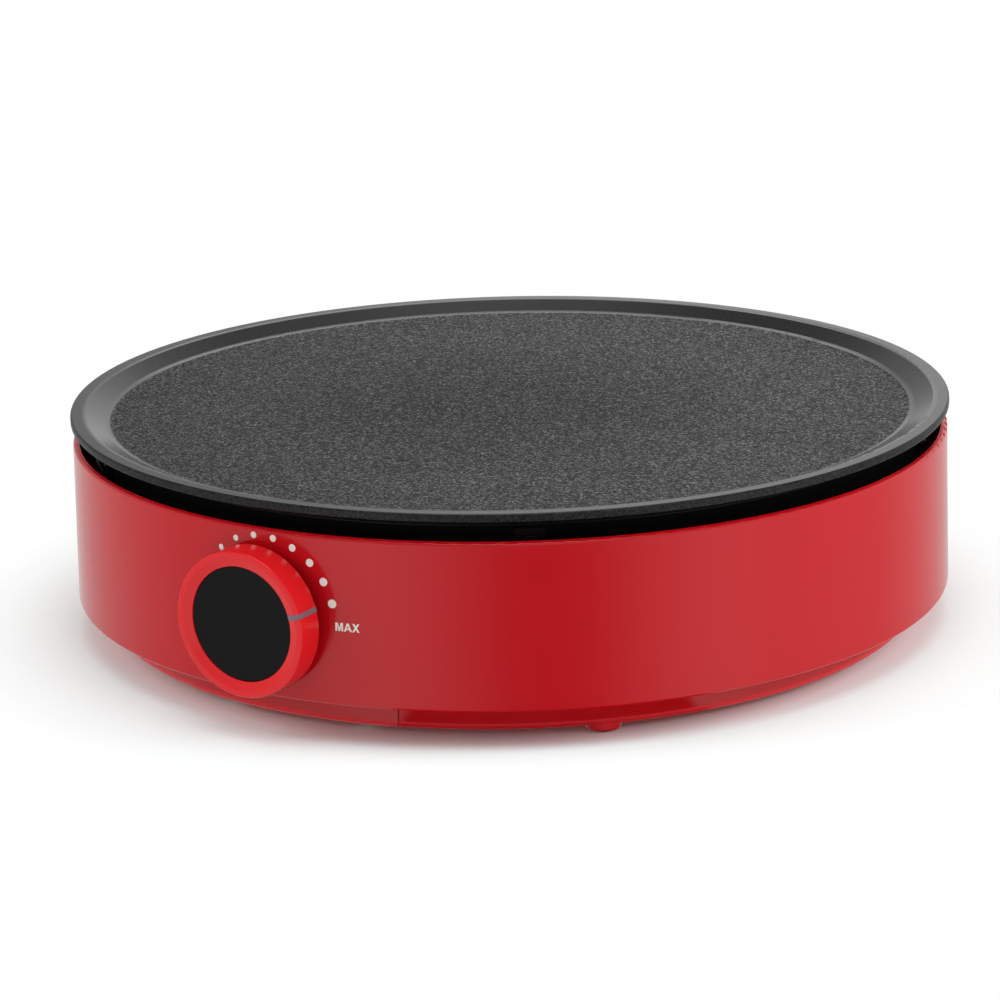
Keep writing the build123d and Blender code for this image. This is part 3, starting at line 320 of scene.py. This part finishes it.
def plate_coating():
    """Speckled coating on the cooking disc, satin on the slope and ledge, bare casting over the element."""
    finish = Finish("nonstick_plate", Specular_IOR_Level=0.03, Coat_Roughness=0.17)
    height = finish.above_table()
    radius = finish.radius()
    upper = finish.rise(height, PLATE_UPPER, 1.0 * MM)
    disc = upper * finish.fall(radius, DISC_EDGE, EDGE_BLEND)
    bare = finish.fall(height, CASTING_TOP, 0.3 * MM) * finish.fall(radius, CASTING_EDGE, 0.5 * MM)
    ledge = upper * finish.rise(radius, DISC_EDGE, EDGE_BLEND)
    ledge = ledge * finish.fall(radius, LEDGE_EDGE, EDGE_BLEND)
    # The disc's coating is darker towards its middle and lighter outside.
    outer = finish.between(radius, DISC_MIDDLE, DISC_OUTER)
    lumps = finish.noise(0.9 * MM, 3.0, 0.7)
    grit = finish.grains(0.65 * MM)
    cloud = finish.noise(28 * MM, 2.0)
    speck = grit * grit * finish.between(lumps, 0.25, 0.65)
    dark = finish.mix(outer, grey(0.002), grey(0.009))
    coating = finish.mix(speck, dark, finish.mix(outer, (0.078, 0.075, 0.076), (0.142, 0.138, 0.139)))
    satin = finish.mix(finish.noise(1.6 * MM, 4.0), grey(0.007), grey(0.012))
    rim = finish.rise(height, RIM_HEIGHT, 1.5 * MM) * (1 - ledge)
    satin = finish.mix(rim, satin, finish.mix(grit, grey(0.009), grey(0.028)))
    satin = finish.mix(upper, grey(0.003), satin)
    casting = finish.mix(finish.noise(2.4 * MM, 3.0), grey(0.42), grey(0.62))
    colour = finish.mix(disc, satin, coating)
    finish.give("Base Color", finish.mix(bare, colour, casting))
    finish.give("Metallic", bare)
    finish.give("Roughness", 0.40 + cloud * 0.06 + bare * 0.15)
    finish.give("Coat Weight", ledge * (0.92 + cloud * 0.1) + disc * grit ** 6 * 0.6 + rim * 0.25)
    peel = (1 - disc) * finish.noise(0.5 * MM) * 0.03
    finish.relief(disc * lumps + bare * finish.noise(0.8 * MM, 3.0) * 0.5 + peel, 0.06 * MM)
    return finish.material


def shell_curve(finish):
    """The true curve of the shell's wall and top round, whose facets would show in its gloss."""
    x, y, z = finish.split(finish.place)
    radius = finish.radius()
    facets = finish.add("NewGeometry", {}, {}, "Normal")
    outward = finish.rise(radius, TOP_ROUND_RADIUS, TOP_ROUND) / radius
    upward = finish.rise(z, TOP_ROUND_HEIGHT, TOP_ROUND) + SHELL_LEAN
    curve = finish.add("CombineXYZ", {}, {0: x * outward, 1: y * outward, 2: upward})
    wall = finish.rise(radius, TOP_ROUND_RADIUS, 0.1 * MM) * finish.rise(z, WALL_START, 0.2 * MM)
    either = finish.add("Mix", {"data_type": "VECTOR"}, {0: wall, 4: facets, 5: curve}, 1)
    return finish.add("VectorMath", {"operation": "NORMALIZE"}, {0: either})


def red_plastic(name, colour, deep, rough, gloss=0.5, grain_and_painted_light_below=None, dull_above=None):
    """Moulded plastic with flow clouds and a faint orange peel.

    Given a height for its grain, it has a fine grain below that height and a lighter red there, which is
    painted light on the base's foot and bottom edge. With dull_above it is the shell: a little duller above
    that height, its inner side painted a brighter red as painted light on the wall in shade under the plate,
    and with the shell's true curve.
    """
    finish = Finish(name, Specular_IOR_Level=gloss)
    flow = finish.noise(55 * MM, 2.0, 0.5, (1.0, 1.0, 0.35))
    body = finish.mix(flow, deep, colour)
    peel = finish.noise(2.6 * MM, 1.0)
    fine = finish.noise(0.45 * MM, 2.0)
    roughness = rough + flow * 0.03 + fine * 0.02
    height = peel * 0.25
    curve = None
    if grain_and_painted_light_below:
        # Below that height it has a real fine grain, and its red is painted lighter as painted light on the
        # base's foot and bottom edge.
        grain_and_painted_light = finish.fall(finish.above_table(), grain_and_painted_light_below, 0.2 * MM)
        roughness = roughness + grain_and_painted_light * 0.3
        height = height + grain_and_painted_light * fine * 2.0
        body = finish.mix(grain_and_painted_light, body, (0.72, 0.004, 0.012))
    if dull_above:
        roughness = roughness + finish.rise(finish.above_table(), dull_above, 1.5 * MM) * 0.03
        # The inner side is painted a brighter red: painted light on the wall that lies in shade under the
        # plate.
        painted_light_inside = finish.fall(finish.radius(), TOP_ROUND_RADIUS, 0.3 * MM)
        body = finish.mix(painted_light_inside, body, (0.80, 0.005, 0.012))
        curve = shell_curve(finish)
    finish.give("Base Color", body)
    finish.give("Roughness", roughness)
    finish.relief(height, 0.006 * MM, curve)
    return finish.material


def black_disc():
    """Satin black cap with a very fine matt grain."""
    finish = Finish("black_disc", Specular_IOR_Level=0.12)
    fine = finish.noise(0.35 * MM, 3.0)
    finish.give("Base Color", finish.mix(fine, grey(0.0065), grey(0.0085)))
    finish.give("Roughness", 0.5 + fine * 0.1)
    finish.relief(fine, 0.002 * MM)
    return finish.material


def pale_inlay():
    """Milky insert let into the knob's ring, a little clouded."""
    finish = Finish("pale_inlay", Specular_IOR_Level=0.4, Roughness=0.3)
    cloud = finish.noise(1.4 * MM, 2.0)
    finish.give("Base Color", finish.mix(cloud, (0.15, 0.10, 0.125), (0.21, 0.145, 0.18)))
    finish.relief(cloud, 0.01 * MM)
    return finish.material


def dial_ink():
    """Pad-printed ink, slightly uneven and matt."""
    finish = Finish("dial_ink", Specular_IOR_Level=0.3)
    dapple = finish.noise(0.25 * MM, 2.0)
    finish.give("Base Color", finish.mix(dapple, (0.78, 0.75, 0.69), (0.90, 0.87, 0.81)))
    finish.give("Roughness", 0.45 + dapple * 0.15)
    finish.relief(dapple, 0.004 * MM)
    return finish.material


def element_steel():
    """Tube steel tinted straw and blue by heat, with a dry oxide bloom."""
    finish = Finish("element_steel")
    heat = finish.noise(22 * MM, 2.0)
    bloom = finish.noise(1.8 * MM, 4.0, 0.6)
    oxide = finish.between(bloom, 0.5, 0.75)
    straw = finish.mix(finish.between(heat, 0.35, 0.65), (0.34, 0.27, 0.18), (0.20, 0.20, 0.25))
    finish.give("Base Color", finish.mix(oxide, straw, (0.13, 0.11, 0.10)))
    finish.give("Metallic", 1 - oxide * 0.5)
    finish.give("Roughness", 0.38 + bloom * 0.3)
    finish.relief(bloom, 0.01 * MM)
    return finish.material


def sheet_steel(name, light, dark, spangle, rough, darker_above=None):
    """Plated or aluminised sheet: crystals of slightly different shade, a rolled streak, darker above a given
    height.
    """
    finish = Finish(name, Metallic=1.0)
    crystal = finish.grains(spangle)
    streak = finish.noise(1.2 * MM, 3.0, 0.6, (0.06, 1.0, 1.0))
    stain = finish.noise(24 * MM, 3.0)
    shade = crystal * 0.45 + streak * 0.35 + stain * 0.2
    sheet = finish.mix(shade, dark, light)
    if darker_above:
        # Above that height the sheet is darker.
        darkening = finish.rise(finish.above_table(), darker_above, 3 * MM)
        sheet = finish.mix(darkening, sheet, finish.mix(stain, (0.012, 0.011, 0.011), (0.030, 0.026, 0.024)))
    finish.give("Base Color", sheet)
    finish.give("Roughness", rough + crystal * 0.08 + streak * 0.12)
    finish.relief(streak, 0.003 * MM)
    return finish.material


def screw_steel():
    """Zinc-plated screws with fine turning marks and duller hollows."""
    finish = Finish("screw_steel", Metallic=1.0)
    turning = finish.noise(0.3 * MM, 2.0, 0.5, (1.0, 1.0, 4.0))
    plating = finish.noise(3.0 * MM, 3.0)
    finish.give("Base Color", finish.mix(plating, (0.50, 0.50, 0.46), (0.66, 0.66, 0.64)))
    finish.give("Roughness", 0.24 + turning * 0.16 + plating * 0.06)
    finish.relief(turning, 0.006 * MM)
    return finish.material


def white_ceramic():
    """Unglazed steatite: chalky, with a few iron specks."""
    finish = Finish("white_ceramic", Specular_IOR_Level=0.3)
    body = finish.noise(1.5 * MM, 4.0, 0.6)
    specks = finish.between(finish.grains(0.6 * MM), 0.965, 0.99)
    chalk = finish.mix(body, (0.70, 0.66, 0.58), (0.82, 0.79, 0.72))
    finish.give("Base Color", finish.mix(specks, chalk, (0.34, 0.24, 0.15)))
    finish.give("Roughness", 0.62 + body * 0.2)
    finish.relief(body, 0.03 * MM)
    return finish.material


def foot_rubber():
    """Matt black rubber with a dusty bloom."""
    finish = Finish("foot_rubber", Specular_IOR_Level=0.3)
    bloom = finish.noise(1.1 * MM, 4.0, 0.6)
    finish.give("Base Color", finish.mix(bloom, grey(0.012), grey(0.035)))
    finish.give("Roughness", 0.7 + bloom * 0.2)
    finish.relief(bloom, 0.03 * MM)
    return finish.material


def brown_phenolic():
    """Pressed phenolic: dark brown with a mottled filler and a waxy skin."""
    finish = Finish("brown_phenolic", Specular_IOR_Level=0.4)
    filler = finish.grains(0.7 * MM)
    flow = finish.noise(5 * MM, 3.0)
    mottle = filler * 0.5 + flow * 0.5
    finish.give("Base Color", finish.mix(mottle, (0.035, 0.018, 0.011), (0.10, 0.052, 0.030)))
    finish.give("Roughness", 0.34 + filler * 0.18)
    finish.relief(filler, 0.01 * MM)
    return finish.material


def black_gland():
    """Black moulded nylon with a spark-eroded grain."""
    finish = Finish("black_gland", Specular_IOR_Level=0.4)
    grain = finish.noise(0.4 * MM, 3.0)
    finish.give("Base Color", finish.mix(grain, grey(0.014), grey(0.026)))
    finish.give("Roughness", 0.42 + grain * 0.2)
    finish.relief(grain, 0.02 * MM)
    return finish.material


def coloured_metal(name, bright, dull, rough):
    """Copper or brass with patches of tarnish."""
    finish = Finish(name, Metallic=1.0)
    tarnish = finish.noise(4 * MM, 4.0, 0.6)
    marks = finish.noise(0.4 * MM, 2.0, 0.5, (1.0, 1.0, 3.0))
    finish.give("Base Color", finish.mix(finish.between(tarnish, 0.35, 0.75), bright, dull))
    finish.give("Roughness", rough + tarnish * 0.2 + marks * 0.08)
    finish.relief(marks, 0.004 * MM)
    return finish.material


def woven_sleeve():
    """Glass-fibre sleeve: two sets of threads that cross at a slant."""
    finish = Finish("sleeve_white", Specular_IOR_Level=0.3)
    x, y, z = finish.split(finish.place)
    pitch = 2 * math.pi / (0.8 * MM)
    over = ((x + y + z) * pitch).sine()
    under = ((x - y + z) * pitch).sine()
    weave = over * under * 0.5 + 0.5
    fuzz = finish.noise(0.5 * MM, 3.0)
    finish.give("Base Color", finish.mix(weave * 0.7 + fuzz * 0.3, (0.50, 0.47, 0.40), (0.80, 0.78, 0.72)))
    finish.give("Roughness", 0.6 + fuzz * 0.2)
    finish.relief(weave, 0.08 * MM)
    return finish.material


def lead_skin(name, colour, deep, stripe=None):
    """Rubbery insulation on a lead, with a stripe of a second colour on an earth lead."""
    finish = Finish(name, Specular_IOR_Level=0.4)
    flow = finish.noise(3 * MM, 2.0)
    skin = finish.mix(flow, deep, colour)
    if stripe:
        x, y, z = finish.split(finish.place)
        winding = ((x * 0.6 + y + z * 1.4) * (2 * math.pi / (5 * MM))).sine()
        skin = finish.mix(finish.between(winding, -0.05, 0.05), skin, stripe)
    finish.give("Base Color", skin)
    finish.give("Roughness", 0.42 + flow * 0.12)
    finish.relief(flow, 0.02 * MM)
    return finish.material


finishes = {
    "nonstick_plate": plate_coating(),
    "red_shell": red_plastic("red_shell", (0.505, 0.004, 0.009), (0.48, 0.0035, 0.008), 0.09,
                             dull_above=67 * MM),
    # The base's red is painted a little lighter than the shell's, as painted light on the base under the
    # shell's overhang.
    "red_base": red_plastic("red_base", (0.555, 0.001, 0.005), (0.525, 0.001, 0.004), 0.12,
                            grain_and_painted_light_below=5.3 * MM),
    "red_knob": red_plastic("red_knob", (0.72, 0.012, 0.016), (0.69, 0.010, 0.014), 0.15, gloss=0.45),
    "black_disc": black_disc(),
    "pale_inlay": pale_inlay(),
    "element_steel": element_steel(),
    "shield_steel": sheet_steel("shield_steel", grey(0.78), grey(0.52), 5 * MM, 0.28, 60 * MM),
    "zinc_steel": sheet_steel("zinc_steel", (0.70, 0.71, 0.70), (0.46, 0.46, 0.42), 1.5 * MM, 0.26),
    "screw_steel": screw_steel(),
    "white_ceramic": white_ceramic(),
    "foot_rubber": foot_rubber(),
    "brown_phenolic": brown_phenolic(),
    "black_gland": black_gland(),
    "copper_tube": coloured_metal("copper_tube", (0.80, 0.42, 0.30), (0.42, 0.20, 0.13), 0.24),
    "brass_parts": coloured_metal("brass_parts", (0.78, 0.60, 0.29), (0.48, 0.34, 0.15), 0.22),
    "sleeve_white": woven_sleeve(),
    "lead_brown": lead_skin("lead_brown", (0.17, 0.075, 0.035), (0.12, 0.050, 0.024)),
    "lead_blue": lead_skin("lead_blue", (0.035, 0.10, 0.34), (0.025, 0.075, 0.26)),
    "lead_earth": lead_skin("lead_earth", (0.10, 0.30, 0.04), (0.07, 0.22, 0.03), (0.72, 0.60, 0.04)),
}
for part in frame["record"]["subparts"]:
    frame["nodes"][part["node"]].data.materials[0] = finishes[part["material_slot"]]


def add_object(name, data):
    thing = bpy.data.objects.new(name, data)
    bpy.context.scene.collection.objects.link(thing)
    return thing


def on_shell(across, above, lift):
    """A point on the shell's wall, across and above the knob's axis as on a flat print, and lifted off it."""
    height = KNOB_HEIGHT + above
    radius = SHELL_RADIUS - (height - SHELL_BOTTOM) * SHELL_LEAN + lift
    angle = across / SHELL_RADIUS
    return Vector((radius * math.sin(angle), -radius * math.cos(angle), height))


def print_ring(mesh, across, above, radius, lift, count=40):
    """One ring of corners of a printed dot."""
    turns = [2 * math.pi * step / count for step in range(count)]
    return [mesh.verts.new(on_shell(across + radius * math.sin(turn), above + radius * math.cos(turn), lift))
            for turn in turns]


def dial_dot(mesh, across, above, radius):
    """A printed dot: its foot is sunk in the wall and its face has a soft edge."""
    rings = [print_ring(mesh, across, above, radius, -PRINT_ROOT),
             print_ring(mesh, across, above, radius, PRINT_PROUD * PRINT_SIDE),
             print_ring(mesh, across, above, radius - PRINT_EDGE, PRINT_PROUD)]
    mesh.faces.new(rings[0])
    mesh.faces.new(reversed(rings[-1]))
    for lower, upper in zip(rings, rings[1:]):
        for here, low in enumerate(lower):
            mesh.faces.new((lower[here - 1], low, upper[here], upper[here - 1]))


def finish_print(name, mesh):
    """Makes a printed piece ride on the housing, with the ink as its finish."""
    bmesh.ops.recalc_face_normals(mesh, faces=mesh.faces)
    data = bpy.data.meshes.new(name)
    mesh.to_mesh(data)
    mesh.free()
    data.materials.append(ink)
    piece = add_object(name, data)
    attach(piece, "housing")


def print_dots():
    """The dial's dots, which shrink away from the word."""
    for count in range(DIAL_DOTS):
        mesh = bmesh.new()
        turn = DIAL_LAST - count * DIAL_STEP
        across = DIAL_ACROSS + DIAL_RADIUS * math.sin(turn)
        above = DIAL_ABOVE + DIAL_RADIUS * math.cos(turn)
        dial_dot(mesh, across, above, (DOT_LARGEST - count * DOT_SHRINK) / 2)
        finish_print(f"dial_dot_{DIAL_DOTS - count}", mesh)


def print_word():
    """The word at the hot end of the dial, bent round the shell.

    The letters are filled as flat outlines with some thickness, and then each side goes to its own depth.
    """
    text = bpy.data.curves.new("max_word", "CURVE")
    text.dimensions = "2D"
    text.fill_mode = "BOTH"
    text.extrude = 0.5
    for start, outline in WORD_OUTLINES:
        line = text.splines.new("POLY")
        line.use_cyclic_u = True
        line.points.add(len(outline) - 1)
        for point, (across, above) in zip(line.points, outline):
            point.co = (start + across, above, 0, 1)
    holder = add_object("max_word", text)
    bpy.context.view_layer.update()
    flat = bpy.data.meshes.new_from_object(holder)
    bpy.data.objects.remove(holder)
    mesh = bmesh.new()
    mesh.from_mesh(flat)
    bpy.data.meshes.remove(flat)
    bmesh.ops.remove_doubles(mesh, verts=mesh.verts, dist=1e-4)
    for corner in mesh.verts:
        across = WORD_ACROSS + (corner.co.x - WORD_LENGTH / 2) * WORD_HEIGHT
        above = WORD_ABOVE + (corner.co.y - 0.5) * WORD_HEIGHT
        corner.co = on_shell(across, above, PRINT_PROUD if corner.co.z > 0 else -PRINT_ROOT)
    finish_print("dial_word", mesh)


ink = dial_ink()
print_dots()
print_word()


def towards(azimuth, elevation):
    """A direction from the object: azimuth 0 is straight out from the knob, and 90 is to its right."""
    level = math.cos(elevation)
    return Vector((math.sin(azimuth) * level, -math.cos(azimuth) * level, math.sin(elevation)))


def set_camera():
    across = Vector((math.cos(CAMERA_AZIMUTH), math.sin(CAMERA_AZIMUTH), 0))
    spot = towards(CAMERA_AZIMUTH, CAMERA_ELEVATION) * CAMERA_DISTANCE + UP * AIM_HEIGHT
    forward = (across * AIM_SIDE + UP * AIM_HEIGHT - spot).normalized()
    right = forward.cross(UP).normalized()
    top = right.cross(forward)
    turned_right = math.cos(CAMERA_ROLL) * right + math.sin(CAMERA_ROLL) * top
    turned_top = math.cos(CAMERA_ROLL) * top - math.sin(CAMERA_ROLL) * right
    lens = bpy.data.cameras.new("camera")
    lens.lens = CAMERA_LENS
    lens.sensor_width = CAMERA_SENSOR
    camera = add_object("camera", lens)
    place = Matrix((turned_right, turned_top, -forward)).transposed().to_4x4()
    place.translation = spot
    camera.matrix_world = place
    bpy.context.scene.camera = camera


def add_lamp(name, azimuth, elevation, distance, size, power):
    """A soft round lamp that lights the object but doesn't show in its gloss."""
    data = bpy.data.lights.new(name, "AREA")
    data.shape = "DISK"
    data.size = size
    data.energy = power
    lamp = add_object(name, data)
    out = towards(math.radians(azimuth), math.radians(elevation))
    lamp.location = out * distance
    lamp.rotation_euler = out.to_track_quat("Z", "Y").to_euler()
    lamp.visible_glossy = False
    lamp.visible_camera = False


def set_world():
    """White for the camera, an even sky for soft light, and a studio of walls, sky and window for gloss."""
    world = bpy.data.worlds.new("studio")
    world.use_nodes = True
    bpy.context.scene.world = world
    nodes = Nodes(world.node_tree)
    x, y, z = nodes.split(nodes.add("TexCoord", {}, {}, "Generated"))
    level = level_length(x, y) + TINY
    level_x = x / level
    level_y = y / level
    turn = nodes.turn_from(DARK_AHEAD, level_x, level_y) / math.pi
    steep = nodes.between(z, *UNDERNEATH_SEEN)
    walls = nodes.levels(turn, WALLS) * (1 - steep) + steep * UNDERNEATH
    climb = z.maths("ARCSINE", z) / (math.pi / 2)
    aside = (x * math.cos(CAMERA_AZIMUTH) + y * math.sin(CAMERA_AZIMUTH)) / level
    dim = nodes.between(aside, *DIM_ASIDE) * nodes.between(climb, *DIM_HEAD)
    sky = nodes.levels(climb, SKY) * SKY_TOP * nodes.between(dim, 0.0, 1.0, 1.0, SKY_DIM)
    behind = math.pi - nodes.turn_from(CAMERA_AZIMUTH, level_x, level_y)
    window = nodes.between(behind, WINDOW_HALF * (1 + WINDOW_EDGE), WINDOW_HALF * (1 - WINDOW_EDGE))
    window = window * nodes.between(climb, *WINDOW_FOOT) * nodes.between(climb, *WINDOW_HEAD)
    sky = sky + window * WINDOW_LEVEL
    over = nodes.between(z, -HORIZON, HORIZON)
    gloss = walls * (1 - over) + sky * over
    sight = nodes.add("LightPath", {}, {}, "Is Camera Ray")
    shine = sight.other("Is Glossy Ray")
    unseen = 1 - sight
    strength = sight + unseen * (shine * gloss + (1 - shine) * AMBIENT)
    background = world.node_tree.nodes["Background"]
    nodes.feed(background.inputs["Color"], grey(1.0))
    nodes.feed(background.inputs["Strength"], strength)


def add_floor():
    """A pale floor that keeps the object's soft shadow and is clear from below.

    Gloss sees only a dark strip of it, by the base: a painted reflection of the shade there.
    """
    data = bpy.data.meshes.new("floor")
    corners = [(FLOOR_HALF * side, FLOOR_HALF * end, 0) for side, end in ((-1, -1), (1, -1), (1, 1), (-1, 1))]
    data.from_pydata(corners, [], [(0, 1, 2, 3)])
    finish = Finish("floor", Roughness=1.0, Specular_IOR_Level=0.0)
    sight = finish.add("LightPath", {}, {}, "Is Camera Ray")
    shine = sight.other("Is Glossy Ray")
    x, y = finish.split(finish.place)[:2]
    out = level_length(x, y) + TINY
    aside = finish.turn_from(STRIP_AZIMUTH, x / out, y / out)
    strip = finish.between(aside, STRIP_HALF * (1 + STRIP_EDGE), STRIP_HALF * (1 - STRIP_EDGE))
    strip = strip * finish.between(out, STRIP_REACH * STRIP_FADE, STRIP_REACH)
    strip = strip * finish.between(out, STRIP_START, STRIP_START * STRIP_FADE)
    near = finish.between(out, FLOOR_FAR, FLOOR_NEAR)
    from_above = 1 - finish.add("NewGeometry", {}, {}, "Backfacing")
    shown = sight * near * from_above + (1 - sight) * (1 - shine * (1 - strip))
    finish.give("Base Color", finish.mix(sight, finish.mix(shine, grey(FLOOR_SHADE), grey(0)), FLOOR_SEEN))
    clear = finish.add("BsdfTransparent", {}, {})
    surface = finish.add("MixShader", {}, {0: shown, 1: clear, 2: Wire(finish, finish.shader.outputs[0])})
    finish.feed(finish.tree.nodes["Material Output"].inputs["Surface"], surface)
    data.materials.append(finish.material)
    add_object("floor", data)


set_camera()
set_world()
for lamp_facts in LAMPS:
    add_lamp(*lamp_facts)
add_floor()
bpy.context.scene.view_settings.view_transform = "Standard"
